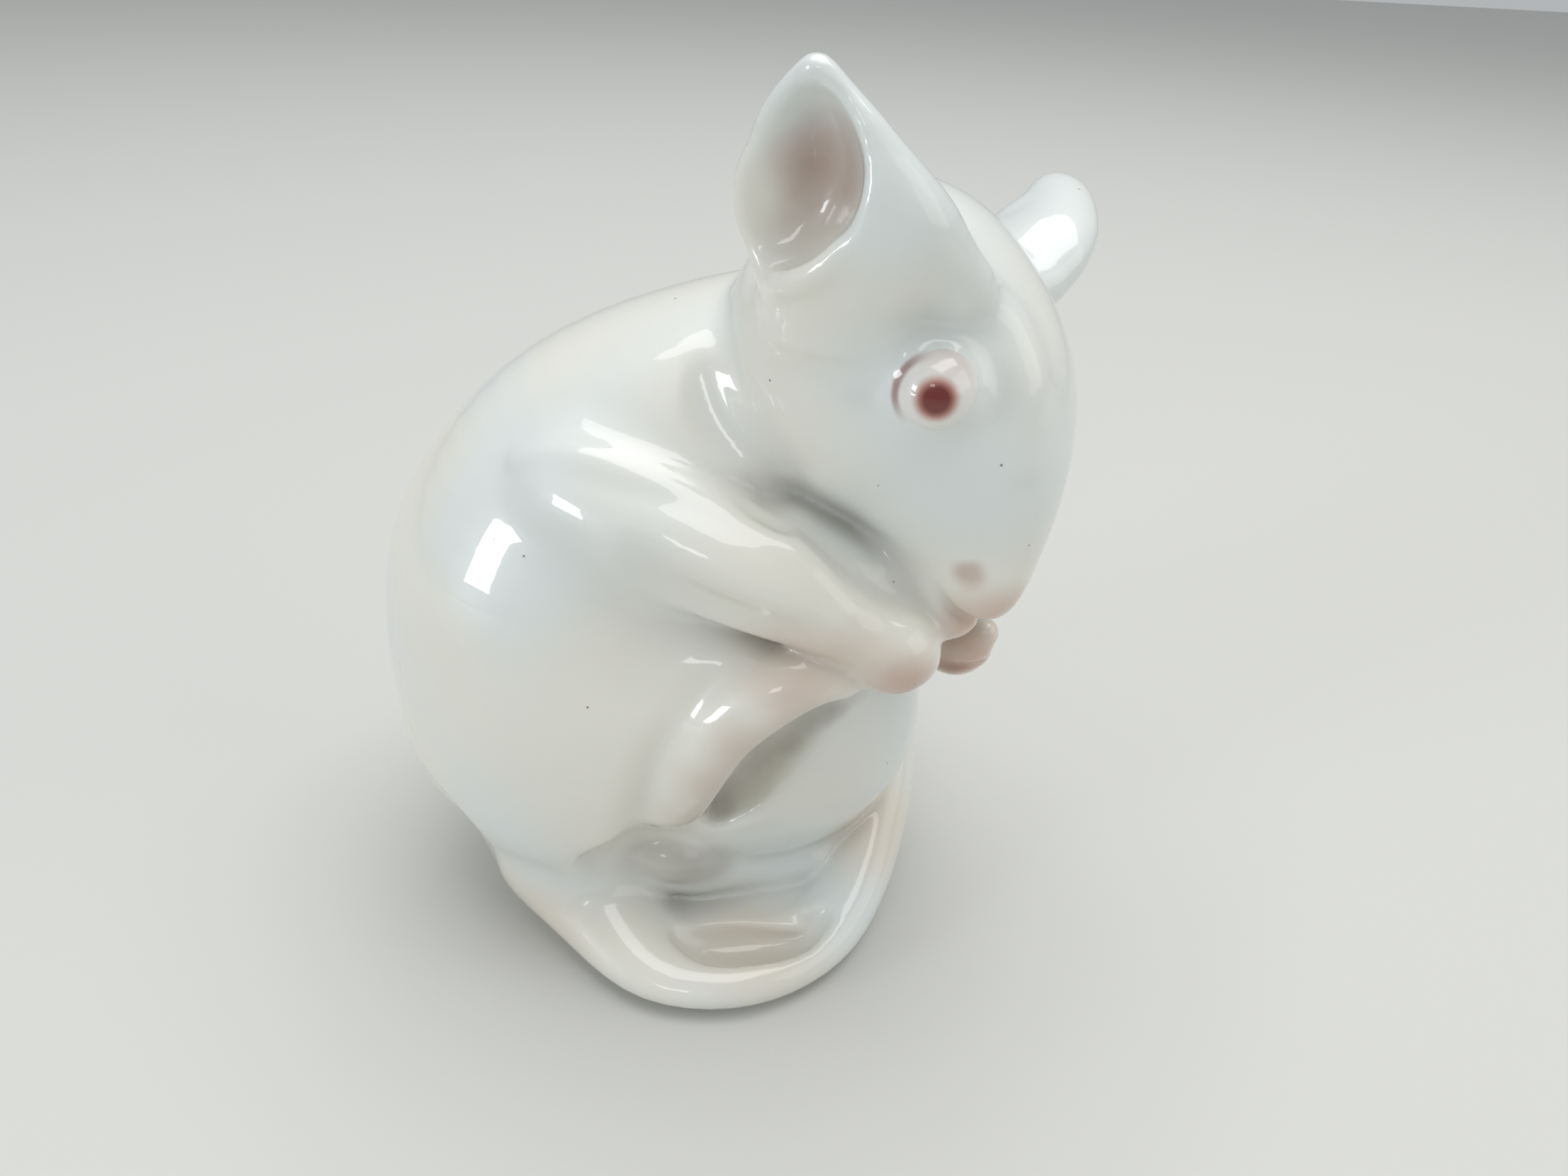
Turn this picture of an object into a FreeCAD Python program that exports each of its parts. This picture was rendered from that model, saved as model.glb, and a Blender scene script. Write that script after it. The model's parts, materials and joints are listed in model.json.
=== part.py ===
import FreeCAD, Part
import math
import os
from FreeCAD import Placement, Rotation, Vector

# A porcelain mouse that sits hunched, its head turned to its right side and bowed over its paws.
# Millimetres. The mouse faces +X, its left side is +Y, and it stands on z = 0.
# Every clay part is a form of ovals strung along a line and joined by narrow flat facets. Rows of
# shares give the ovals that matter, and the ones between them are worked out, so a form stays even
# when a size changes.

doc = FreeCAD.newDocument("MouseFigurine")
sheet = doc.addObject("Spreadsheet::Sheet", "Sizes")

sizes = {
    # torso, with its arched back
    "torso_length": 36.6,
    "torso_width": 25.0,
    "torso_rise": 44.0,
    "torso_x": -4.5,
    # belly, an egg that leans out in front of the back
    "belly_length": 25.5,
    "belly_width": 20.5,
    "belly_rise": 27.5,
    "belly_x": 0.3,
    "belly_z": 16.6,
    # shelf of clay under the feet, inside the tail
    "shelf_length": 23.4,
    "shelf_width": 26.4,
    "shelf_x": 0.0,
    "shelf_height": 3.0,
    # hollow of the casting, and the vent in the foot face
    "shell_wall": 3.4,
    "hollow_height": 31.0,
    "vent_diameter": 3.0,
    # head, in its own frame: +X to the nose, +Z to the crown
    "head_length": 21.0,
    "head_width": 17.6,
    "head_depth": 16.4,
    "head_x": 13.9,
    "head_y": -6.3,
    "head_z": 39.6,
    "head_yaw": -41.0,
    "head_pitch": 28.0,
    "head_roll": -15.0,
    # ears, in the head's frame; each was set by hand, so their angles differ
    "ear_length": 10.6,
    "ear_width": 7.8,
    "ear_depth": 5.0,
    "ear_wall": 0.9,
    "ear_spread": 8.9,
    "ear_back": 6.5,
    "ear_up": 1.2,
    "ear_turn": 80.0,
    "right_ear_sweep": 25.0,
    "right_ear_splay": 29.0,
    "left_ear_sweep": 16.0,
    "left_ear_splay": 52.0,
    # eyes, in the head's frame
    "eye_diameter": 4.4,
    "eye_spread": 6.3,
    "eye_forward": 0.2,
    "eye_up": 0.4,
    "eye_flat_angle": 12.0,
    # limbs
    "foreleg_diameter": 7.6,
    "thigh_diameter": 20.4,
    "shin_diameter": 5.0,
    "foot_diameter": 6.4,
    # tail, laid in a loop round the right side and the front, its end raised to the paws
    "tail_diameter": 9.0,
    "tail_loop_length": 28.0,
    "tail_loop_width": 27.4,
    "tail_rise": 24.0,
    # how far a cutting tool reaches past what it cuts
    "overrun": 30.0,
}
for row, (name, value) in enumerate(sizes.items(), start=1):
    sheet.set("A%d" % row, name)
    sheet.set("B%d" % row, str(value))
    sheet.setAlias("B%d" % row, name)
doc.recompute()


def size(name):
    return float(sheet.get(name))


def between(rows, steps):
    """The rows, with steps - 1 smoothly worked out rows after each but the last."""
    out = []
    for here in range(len(rows) - 1):
        before, after = rows[max(here - 1, 0)], rows[min(here + 2, len(rows) - 1)]
        for step in range(steps):
            t = step / steps
            out.append([
                0.5 * (2 * b + (c - a) * t + (2 * a - 5 * b + 4 * c - d) * t * t
                       + (3 * b - a - 3 * c + d) * t ** 3)
                for a, b, c, d in zip(before, rows[here], rows[here + 1], after)])
    out.append(list(rows[-1]))
    return out


def oval(corners, middle, side, rise, half_side, half_rise, pinch_share=0.0):
    """Corners round an oval across side and rise, narrower towards +rise by the pinch."""
    points = []
    for corner in range(corners):
        turn = 2 * math.pi * corner / corners
        width = half_side * math.sin(turn) * (1 - pinch_share * math.cos(turn))
        points.append(middle + side * width + rise * (half_rise * math.cos(turn)))
    return points


def face(points):
    return Part.Face(Part.makePolygon(points + points[:1]))


def form(ovals):
    """A closed solid: flat ends, and facets between each oval and the next."""
    faces = [face(ovals[0]), face(ovals[-1])]
    for low, high in zip(ovals, ovals[1:]):
        for here in range(len(low)):
            a, b, c, d = low[here - 1], low[here], high[here], high[here - 1]
            if (c - a).Length < (d - b).Length:
                faces += [face([a, b, c]), face([a, c, d])]
            else:
                faces += [face([a, b, d]), face([b, c, d])]
    solid = Part.Solid(Part.makeShell(faces))
    if solid.Volume < 0:
        solid.reverse()
    return solid


def limb(corners, rows_shares, reach, diameter, steps=2):
    """A tube of ovals. Each row: x, y and z in shares of the reach, half width and half height."""
    rows = [[row[0] * reach[0], row[1] * reach[1], row[2] * reach[2], row[3] * diameter, row[4] * diameter]
            for row in rows_shares]
    rows = between(rows, steps)
    ovals = []
    for index, (x, y, z, half_side, half_rise) in enumerate(rows):
        ahead, behind = rows[min(index + 1, len(rows) - 1)], rows[max(index - 1, 0)]
        along = (Vector(*ahead[:3]) - Vector(*behind[:3])).normalize()
        side = Vector(0, 0, 1).cross(along).normalize()
        ovals.append(oval(corners, Vector(x, y, z), side, along.cross(side), half_side, half_rise))
    return form(ovals)


def clay(name, shape, placement=None):
    item = doc.addObject("Part::Feature", name)
    item.Shape = shape
    if placement:
        item.Placement = placement
    return item


def fuse(name, items):
    item = doc.addObject("Part::MultiFuse", name)
    item.Shapes = items
    return item


def seat(name, base, neighbours):
    """The clay part, cut to sit on each neighbour in turn."""
    for index, neighbour in enumerate(neighbours):
        last = index == len(neighbours) - 1
        item = doc.addObject("Part::Cut", name if last else "%s_less_%s" % (name, neighbour.Name))
        item.Base = base
        item.Tool = neighbour
        base = item
    return base


# Ground: a block below z = 0 that flattens what would reach under it.
ground = doc.addObject("Part::Box", "ground")
for side in ("Length", "Width"):
    ground.setExpression(side, "2 * Sizes.overrun")
ground.setExpression("Height", "Sizes.overrun")
ground.setExpression("Placement.Base.x", "-Sizes.overrun")
ground.setExpression("Placement.Base.y", "-Sizes.overrun")
ground.setExpression("Placement.Base.z", "-Sizes.overrun")


# Torso: ovals up the arched back. Each row: x, z, lean in degrees, half depth, half width, pinch.
def back_shape():
    length, width, rise = size("torso_length"), size("torso_width"), size("torso_rise")
    rows_shares = [
        (-0.08, 0.00, 0, 0.180, 0.26, 0.20),
        (-0.06, 0.08, 0, 0.265, 0.33, 0.20),
        (-0.03, 0.18, 0, 0.370, 0.42, 0.18),
        (-0.015, 0.29, 0, 0.435, 0.49, 0.15),
        (-0.02, 0.44, 4, 0.450, 0.52, 0.12),
        (-0.02, 0.57, 12, 0.412, 0.50, 0.08),
        (0.04, 0.70, 30, 0.325, 0.43, 0.0),
        (0.17, 0.812, 52, 0.215, 0.35, 0.0),
        (0.32, 0.86, 66, 0.180, 0.29, 0.0),
    ]
    ovals = []
    for x_share, z_share, lean, depth_share, width_share, pinch_share in between(rows_shares, 2):
        lean = math.radians(lean)
        middle = Vector(size("torso_x") + x_share * length, 0, z_share * rise)
        forward = Vector(math.cos(lean), 0, -math.sin(lean))
        ovals.append(oval(32, middle, Vector(0, 1, 0), forward, width_share * width,
                          depth_share * length, pinch_share))
    return form(ovals)


# Belly: level ovals of an egg, all but its two ends.
def belly_shape():
    ovals = []
    slices, tip_share = 12, 0.35
    for index in range(slices + 1):
        turn = math.pi * (index + tip_share) / (slices + 2 * tip_share)
        middle = Vector(size("belly_x"), 0, size("belly_z") - size("belly_rise") / 2 * math.cos(turn))
        ovals.append(oval(28, middle, Vector(0, 1, 0), Vector(1, 0, 0),
                          size("belly_width") / 2 * math.sin(turn), size("belly_length") / 2 * math.sin(turn)))
    return form(ovals)


def shelf_shape():
    outline = oval(32, Vector(size("shelf_x"), 0, 0), Vector(0, 1, 0), Vector(1, 0, 0),
                   size("shelf_width") / 2, size("shelf_length") / 2)
    return face(outline).extrude(Vector(0, 0, size("shelf_height")))


body_clay = fuse("body_clay", [clay("back", back_shape()), clay("belly", belly_shape()),
                               clay("shelf", shelf_shape())])

# Hollow of the casting: three cones on one upright axis, inside the wall.
wide = "(Sizes.torso_width / 2 - Sizes.shell_wall)"
hollow_shares = ((0.0, 0.32, 0.60, 1.0), (0.32, 0.72, 1.0, 0.98), (0.72, 1.0, 0.98, 0.42))
hollows = []
for low_share, high_share, low_radius_share, high_radius_share in hollow_shares:
    cone = doc.addObject("Part::Cone", "hollow_%d" % (len(hollows) + 1))
    cone.setExpression("Radius1", "%s * %s" % (wide, low_radius_share))
    cone.setExpression("Radius2", "%s * %s" % (wide, high_radius_share))
    cone.setExpression("Height", "Sizes.hollow_height * %s" % (high_share - low_share))
    cone.setExpression("Placement.Base.x", "Sizes.torso_x")
    cone.setExpression("Placement.Base.z", "Sizes.shell_wall + Sizes.hollow_height * %s" % low_share)
    hollows.append(cone)
vent = doc.addObject("Part::Cylinder", "vent")
vent.setExpression("Radius", "Sizes.vent_diameter / 2")
vent.setExpression("Height", "2 * Sizes.shell_wall")
vent.setExpression("Placement.Base.x", "Sizes.torso_x")
vent.setExpression("Placement.Base.z", "-Sizes.shell_wall / 2")
body_shell = seat("body_shell", body_clay, [fuse("hollow", hollows), vent])

# Head: ovals from the nape to the nose. Each row: x, z, nod in degrees, half width, half height.
head_place = Placement(Vector(size("head_x"), size("head_y"), size("head_z")),
                       Rotation(size("head_yaw"), size("head_pitch"), size("head_roll")))


def head_shape():
    length, width, depth = size("head_length"), size("head_width"), size("head_depth")
    rows_shares = [
        (-0.66, -0.06, 0, 0.20, 0.20),
        (-0.58, -0.08, 2, 0.36, 0.37),
        (-0.40, -0.10, 6, 0.48, 0.50),
        (-0.20, -0.14, 10, 0.50, 0.53),
        (0.00, -0.20, 18, 0.44, 0.48),
        (0.14, -0.28, 28, 0.32, 0.38),
        (0.265, -0.395, 38, 0.20, 0.26),
        (0.345, -0.495, 46, 0.13, 0.165),
        (0.38, -0.55, 50, 0.07, 0.08),
    ]
    ovals = []
    for x_share, z_share, nod, width_share, depth_share in between(rows_shares, 2):
        nod = math.radians(nod)
        middle = Vector(x_share * length, 0, z_share * depth)
        up = Vector(math.sin(nod), 0, math.cos(nod))
        ovals.append(oval(32, middle, Vector(0, 1, 0), up, width_share * width, depth_share * depth, 0.1))
    return form(ovals)


def eye(name, side):
    """A ball with its inner end cut flat, where it is pressed into the socket."""
    item = doc.addObject("Part::Sphere", name)
    item.setExpression("Radius", "Sizes.eye_diameter / 2")
    item.setExpression("Angle1", "-Sizes.eye_flat_angle")
    middle = Vector(size("eye_forward"), side * size("eye_spread"), size("eye_up"))
    item.Placement = head_place.multiply(Placement(middle, Rotation(Vector(1, 0, 0), -side * 90)))
    return item


head_clay = clay("head_clay", head_shape(), head_place)
right_eye, left_eye = eye("right_eye", -1), eye("left_eye", 1)
head = seat("head", head_clay, [body_clay, right_eye, left_eye])


# Ears: a leaf-shaped cup on the side of the crown, in its own frame: +Z to the tip, +X out of the hollow.
# Each row: height, half width, depth of the cup, curl backwards.
def leaf(inset, forward):
    length, width, depth = size("ear_length"), size("ear_width"), size("ear_depth")
    rows_shares = [
        (-0.22, 0.40, 0.90, 0.00),
        (0.00, 0.46, 1.00, 0.00),
        (0.22, 0.50, 0.95, 0.02),
        (0.44, 0.47, 0.80, 0.03),
        (0.66, 0.38, 0.62, 0.02),
        (0.84, 0.25, 0.44, 0.00),
        (0.95, 0.14, 0.30, -0.01),
        (1.00, 0.06, 0.16, -0.01),
    ]
    ovals = []
    for height_share, width_share, depth_share, curl_share in between(rows_shares, 2):
        middle = Vector(forward - curl_share * length, 0, height_share * length)
        narrowed = 1 - inset / (width / 2)
        ovals.append(oval(20, middle, Vector(0, 1, 0), Vector(1, 0, 0), width_share * width * narrowed,
                          depth_share * depth / 2 * narrowed))
    return form(ovals)


def ear(name, side):
    sweep, splay = math.radians(size(name + "_sweep")), math.radians(size(name + "_splay"))
    turn = math.radians(size("ear_turn"))
    up = Vector(-math.sin(sweep), side * math.sin(splay) * math.cos(sweep), math.cos(splay) * math.cos(sweep))
    front = Vector(math.cos(turn), side * math.sin(turn), 0)
    root = Vector(-size("ear_back"), side * size("ear_spread"), size("ear_up"))
    place = head_place.multiply(Placement(root, Rotation(front, up.cross(front), up, "ZXY")))
    cup = leaf(0.0, 0.0).cut(leaf(size("ear_wall"), size("ear_depth") / 2))
    return seat(name, clay(name + "_clay", cup, place), [head_clay])


right_ear, left_ear = ear("right_ear", -1), ear("left_ear", 1)

# Forelegs: shoulder, forearm, wrist and paw.
torso_reach = (size("torso_length"), size("torso_width"), size("torso_rise"))
right_foreleg_clay = clay("right_foreleg_clay", limb(18, [
    (-0.260, -0.220, 0.764, 0.20, 0.20),
    (-0.219, -0.260, 0.755, 0.50, 0.39),
    (-0.109, -0.344, 0.732, 0.57, 0.45),
    (0.000, -0.412, 0.700, 0.51, 0.46),
    (0.093, -0.456, 0.673, 0.42, 0.41),
    (0.169, -0.476, 0.645, 0.32, 0.32),
    (0.227, -0.476, 0.618, 0.28, 0.28),
    (0.276, -0.468, 0.593, 0.34, 0.34),
    (0.306, -0.460, 0.566, 0.28, 0.28),
    (0.317, -0.456, 0.552, 0.13, 0.13),
], torso_reach, size("foreleg_diameter")))
left_foreleg_clay = clay("left_foreleg_clay", limb(18, [
    (-0.232, 0.240, 0.750, 0.20, 0.20),
    (-0.191, 0.280, 0.736, 0.53, 0.45),
    (-0.068, 0.352, 0.691, 0.58, 0.53),
    (0.068, 0.368, 0.641, 0.50, 0.50),
    (0.191, 0.304, 0.591, 0.39, 0.39),
    (0.295, 0.152, 0.555, 0.32, 0.32),
    (0.361, -0.024, 0.523, 0.28, 0.28),
    (0.399, -0.144, 0.505, 0.33, 0.33),
    (0.418, -0.216, 0.502, 0.26, 0.26),
    (0.426, -0.248, 0.502, 0.13, 0.13),
], torso_reach, size("foreleg_diameter")))
right_foreleg = seat("right_foreleg", right_foreleg_clay, [body_clay, head_clay])
left_foreleg = seat("left_foreleg", left_foreleg_clay, [body_clay, head_clay])

# Hind legs: a broad thigh up to the knee, and the shin from there down and back to the heel.
thigh_shares = [
    (-0.464, -0.144, 0.236, 0.07, 0.15),
    (-0.415, -0.184, 0.250, 0.20, 0.34),
    (-0.301, -0.240, 0.305, 0.30, 0.50),
    (-0.178, -0.288, 0.375, 0.31, 0.44),
    (-0.066, -0.344, 0.442, 0.25, 0.29),
    (0.044, -0.408, 0.500, 0.19, 0.19),
    (0.137, -0.456, 0.532, 0.14, 0.13),
    (0.197, -0.472, 0.550, 0.05, 0.05),
]
shin_shares = [
    (0.227, -0.464, 0.550, 0.20, 0.20),
    (0.202, -0.472, 0.545, 0.44, 0.44),
    (0.109, -0.488, 0.518, 0.50, 0.50),
    (0.015, -0.480, 0.462, 0.48, 0.48),
    (-0.040, -0.432, 0.362, 0.46, 0.46),
    (-0.070, -0.360, 0.255, 0.44, 0.44),
    (-0.098, -0.296, 0.160, 0.40, 0.40),
    (-0.112, -0.256, 0.105, 0.24, 0.24),
]
foot_shares = [
    (-0.175, -0.216, 0.080, 0.16, 0.20),
    (-0.150, -0.220, 0.084, 0.30, 0.38),
    (-0.090, -0.216, 0.084, 0.36, 0.44),
    (0.055, -0.208, 0.078, 0.37, 0.42),
    (0.180, -0.160, 0.070, 0.37, 0.40),
    (0.265, -0.104, 0.072, 0.32, 0.30),
    (0.300, -0.080, 0.078, 0.16, 0.12),
]


def hind_side(prefix, side, foreleg_clay):
    """The hind leg and foot of one side: the rows are for the right one, at -Y."""
    reach = (torso_reach[0], -side * torso_reach[1], torso_reach[2])
    thigh = clay(prefix + "_thigh", limb(26, thigh_shares, reach, size("thigh_diameter")))
    shin = clay(prefix + "_shin", limb(16, shin_shares, reach, size("shin_diameter")))
    leg_clay = fuse(prefix + "_hind_leg_clay", [thigh, shin])
    foot_clay = clay(prefix + "_foot_clay", limb(18, foot_shares, reach, size("foot_diameter")))
    leg = seat(prefix + "_hind_leg", leg_clay, [body_clay, foreleg_clay])
    foot = seat(prefix + "_hind_foot", foot_clay, [body_clay, leg_clay, ground])
    return leg_clay, foot_clay, leg, foot


right_leg_clay, right_foot_clay, right_hind_leg, right_hind_foot = hind_side("right", -1, right_foreleg_clay)
left_leg_clay, left_foot_clay, left_hind_leg, left_hind_foot = hind_side("left", 1, left_foreleg_clay)

# Tail: from the rump round the right side and the front, then up to the paws.
tail_clay = clay("tail_clay", limb(18, [
    (-0.286, 0.100, 0.250, 0.30, 0.30),
    (-0.379, -0.020, 0.233, 0.48, 0.48),
    (-0.357, -0.190, 0.205, 0.56, 0.56),
    (-0.250, -0.361, 0.125, 0.43, 0.33),
    (-0.086, -0.480, 0.077, 0.34, 0.20),
    (0.100, -0.484, 0.072, 0.31, 0.19),
    (0.257, -0.380, 0.078, 0.29, 0.20),
    (0.352, -0.205, 0.110, 0.28, 0.24),
    (0.405, 0.015, 0.200, 0.30, 0.30),
    (0.426, 0.160, 0.350, 0.27, 0.27),
    (0.429, 0.205, 0.555, 0.25, 0.25),
    (0.443, 0.155, 0.745, 0.22, 0.22),
    (0.462, 0.050, 0.885, 0.20, 0.20),
    (0.474, -0.030, 0.945, 0.17, 0.17),
], (size("tail_loop_length"), size("tail_loop_width"), size("tail_rise")), size("tail_diameter")))
tail = seat("tail", tail_clay, [ground, body_clay, right_leg_clay, right_foot_clay, left_foot_clay,
                                left_foreleg_clay])

pieces = [body_shell, head, right_ear, left_ear, right_eye, left_eye, right_foreleg, left_foreleg,
          right_hind_leg, left_hind_leg, right_hind_foot, left_hind_foot, tail]
for piece in pieces:
    piece.Label = piece.Name
doc.recompute()

for item in doc.Objects:
    if "Invalid" in item.State or "Error" in item.State:
        raise RuntimeError("%s didn't build: %s" % (item.Name, item.State))
for piece in pieces:
    if piece.Shape.isNull() or not piece.Shape.isValid():
        raise RuntimeError("%s has no sound shape" % piece.Name)

os.makedirs("parts", exist_ok=True)
for piece in pieces:
    piece.Shape.exportStep("parts/%s.step" % piece.Label)
    print("%-16s %d solid, %7.1f mm3" % (piece.Label, len(piece.Shape.Solids), piece.Shape.Volume))
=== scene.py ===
import json
import math
import bpy
import numpy as np
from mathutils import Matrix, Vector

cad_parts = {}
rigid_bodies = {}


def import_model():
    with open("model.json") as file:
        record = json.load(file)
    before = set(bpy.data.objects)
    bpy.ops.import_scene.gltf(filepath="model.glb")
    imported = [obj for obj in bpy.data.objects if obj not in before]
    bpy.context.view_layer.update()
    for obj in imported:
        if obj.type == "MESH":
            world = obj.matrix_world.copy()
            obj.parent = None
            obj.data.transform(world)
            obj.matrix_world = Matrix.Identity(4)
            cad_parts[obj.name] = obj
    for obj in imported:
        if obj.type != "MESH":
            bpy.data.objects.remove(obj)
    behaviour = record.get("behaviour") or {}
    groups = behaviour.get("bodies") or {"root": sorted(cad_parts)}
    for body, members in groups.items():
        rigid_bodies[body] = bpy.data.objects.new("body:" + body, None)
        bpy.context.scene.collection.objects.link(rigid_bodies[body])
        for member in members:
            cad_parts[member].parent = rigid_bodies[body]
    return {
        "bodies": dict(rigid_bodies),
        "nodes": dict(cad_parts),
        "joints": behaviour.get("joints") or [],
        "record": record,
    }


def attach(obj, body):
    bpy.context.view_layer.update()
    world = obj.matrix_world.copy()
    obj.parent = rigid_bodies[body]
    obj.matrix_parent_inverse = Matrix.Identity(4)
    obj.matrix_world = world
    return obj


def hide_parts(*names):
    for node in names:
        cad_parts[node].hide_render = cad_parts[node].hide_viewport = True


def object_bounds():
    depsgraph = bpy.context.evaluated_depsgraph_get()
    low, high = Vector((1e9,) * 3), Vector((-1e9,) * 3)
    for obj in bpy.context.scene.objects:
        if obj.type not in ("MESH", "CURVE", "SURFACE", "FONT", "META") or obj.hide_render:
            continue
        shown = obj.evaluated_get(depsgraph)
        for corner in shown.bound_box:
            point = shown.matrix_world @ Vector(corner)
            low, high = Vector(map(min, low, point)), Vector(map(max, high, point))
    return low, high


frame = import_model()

import openvdb as vdb
from mathutils import Matrix, Vector

# A hand-assembled porcelain mouse. The clay parts are smooth forms in millimetres, in the CAD's frame and
# mostly from the CAD's rows. They are luted into one body, tooled, and given one skin of glaze.
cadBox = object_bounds()
print("frame loaded, box", cadBox)

clay = {
    "voxelMm": 0.24, "bandMm": 3.0, "marginMm": 1.7,
    "corners": 84, "steps": 5, "strokeSteps": 4,    # of each oval, and from one row or stroke point to the next
    "steep": 0.6,    # the run's level share, under which it counts as steep
}
studio = {"lensMm": 27.03, "cameraMm": (4.0, -66.0, 62.2), "pitchDeg": 31.0, "rollDeg": 3.1,
          "sensorMm": 36.0, "floor": "#CFCFCB", "floorHalfM": 1.0, "sky": "#EEF2F4", "skyStrength": 0.52,
          "lampsAimM": (0, 0, 0.03)}

# The grid that the clay is worked in covers the CAD box and a little more.
voxel, band = clay["voxelMm"], clay["bandMm"]
lowMm = np.floor(np.array(cadBox[0]) * 1000 - clay["marginMm"])
highMm = np.ceil(np.array(cadBox[1]) * 1000 + clay["marginMm"])
shape = np.ceil((highMm - lowMm) / voxel).astype(int)
firstIndex = np.round(lowMm / voxel).astype(int)
gridX, gridY, gridZ = ((firstIndex[0] + np.arange(shape[0]))[:, None, None] * voxel,
                       (firstIndex[1] + np.arange(shape[1]))[None, :, None] * voxel,
                       (firstIndex[2] + np.arange(shape[2]))[None, None, :] * voxel)
transform = vdb.createLinearTransform(voxelSize=voxel)


def between(rows, steps):
    # the rows, with steps - 1 smooth rows after each but the last
    rows = np.array(rows, float)
    out = []
    for here in range(len(rows) - 1):
        a, b = rows[max(here - 1, 0)], rows[here]
        c, d = rows[here + 1], rows[min(here + 2, len(rows) - 1)]
        for step in range(steps):
            t = step / steps
            out.append(0.5 * (2 * b + (c - a) * t + (2 * a - 5 * b + 4 * c - d) * t * t
                              + (3 * b - a - 3 * c + d) * t ** 3))
    return np.array(out + [rows[-1]])


def unit(v):
    v = np.array(v, float)
    return v / np.linalg.norm(v)


def oval(middle, side, rise, halfSide, halfRise, pinch=0.0):
    turn = np.linspace(0, 2 * math.pi, clay["corners"], endpoint=False)[:, None]
    across = halfSide * np.sin(turn) * (1 - pinch * np.cos(turn))
    return middle + side * across + rise * (halfRise * np.cos(turn))


def limbRings(rows, reach, diameter):
    # each row: x, y, z in shares of the reach, half width and half height in shares of the diameter
    rows = between([[x * reach[0], y * reach[1], z * reach[2], width * diameter, height * diameter]
                    for x, y, z, width, height in rows], clay["steps"])
    rings = []
    for i, row in enumerate(rows):
        along = unit(rows[min(i + 1, len(rows) - 1)][:3] - rows[max(i - 1, 0)][:3])
        side = np.cross((0, 0, 1), along)
        if rings and np.linalg.norm(side) < clay["steep"]:    # a steep run keeps the side of the ring before
            side = last - along * (last @ along)
        side = unit(side)
        if rings and side @ last < 0:
            side = -side
        last = side
        rings.append(oval(row[:3], side, np.cross(along, side), row[3], row[4]))
    return rings


def formField(rings):
    # signed distance in mm to the closed form through the rings
    n, corners = len(rings), clay["corners"]
    points = np.vstack(rings + [rings[0].mean(0)[None], rings[-1].mean(0)[None]])
    i, j = np.meshgrid(np.arange(n - 1), np.arange(corners), indexing="ij")
    k = (j + 1) % corners
    quads = np.stack([i * corners + j, i * corners + k, (i + 1) * corners + k, (i + 1) * corners + j], -1)
    ends = np.arange(corners)
    nextEnd = (ends + 1) % corners
    startCap = np.stack([np.full(corners, n * corners), nextEnd, ends], -1)
    endCap = np.stack([np.full(corners, n * corners + 1), (n - 1) * corners + ends,
                       (n - 1) * corners + nextEnd], -1)
    level = vdb.FloatGrid.createLevelSetFromPolygons(
        points.astype(np.float32), triangles=np.vstack([startCap, endCap]).astype(np.uint32),
        quads=quads.reshape(-1, 4).astype(np.uint32), transform=transform, halfWidth=band / voxel)
    out = np.empty(shape, np.float32)
    level.copyToArray(out, ijk=tuple(int(v) for v in firstIndex))
    return out


def eggField(centre, radii):
    # distance, near enough, to an upright ellipsoid
    offset = [gridX - centre[0], gridY - centre[1], gridZ - centre[2]]
    shallow = np.sqrt(sum((offset[b] / radii[b]) ** 2 for b in range(3)))
    steep = np.sqrt(sum((offset[b] / radii[b] ** 2) ** 2 for b in range(3))) + 1e-6
    return np.clip(shallow * (shallow - 1) / steep, -band, band).astype(np.float32)


def lute(a, b, blend):
    # union with a fillet about as wide as the blend in mm, which may vary over the grid
    h = np.maximum(blend - np.abs(a - b), 0) / np.maximum(blend, 1e-3)
    return np.minimum(a, b) - h * h * blend / 4


def carve(a, b, blend):
    return -lute(-a, b, blend)


def fade(start, end):
    # 1 at start, falling to 0 at end, along the line between them
    start, end = np.array(start, float), np.array(end, float)
    line = end - start
    t = (gridX - start[0]) * line[0] + (gridY - start[1]) * line[1] + (gridZ - start[2]) * line[2]
    t = np.clip(t / (line @ line), 0, 1)
    return (1 - t * t * (3 - 2 * t)).astype(np.float32)


whole = (np.eye(3), np.zeros(3))    # a frame: how it is turned, and where its origin is


def placed(points, side=-1, frame=whole):
    # points given in a frame for the right side, which is towards -Y, as points of the whole
    turned, origin = frame
    return np.array([(x, -side * y, z) for x, y, z in points], float) @ turned.T + origin


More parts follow.
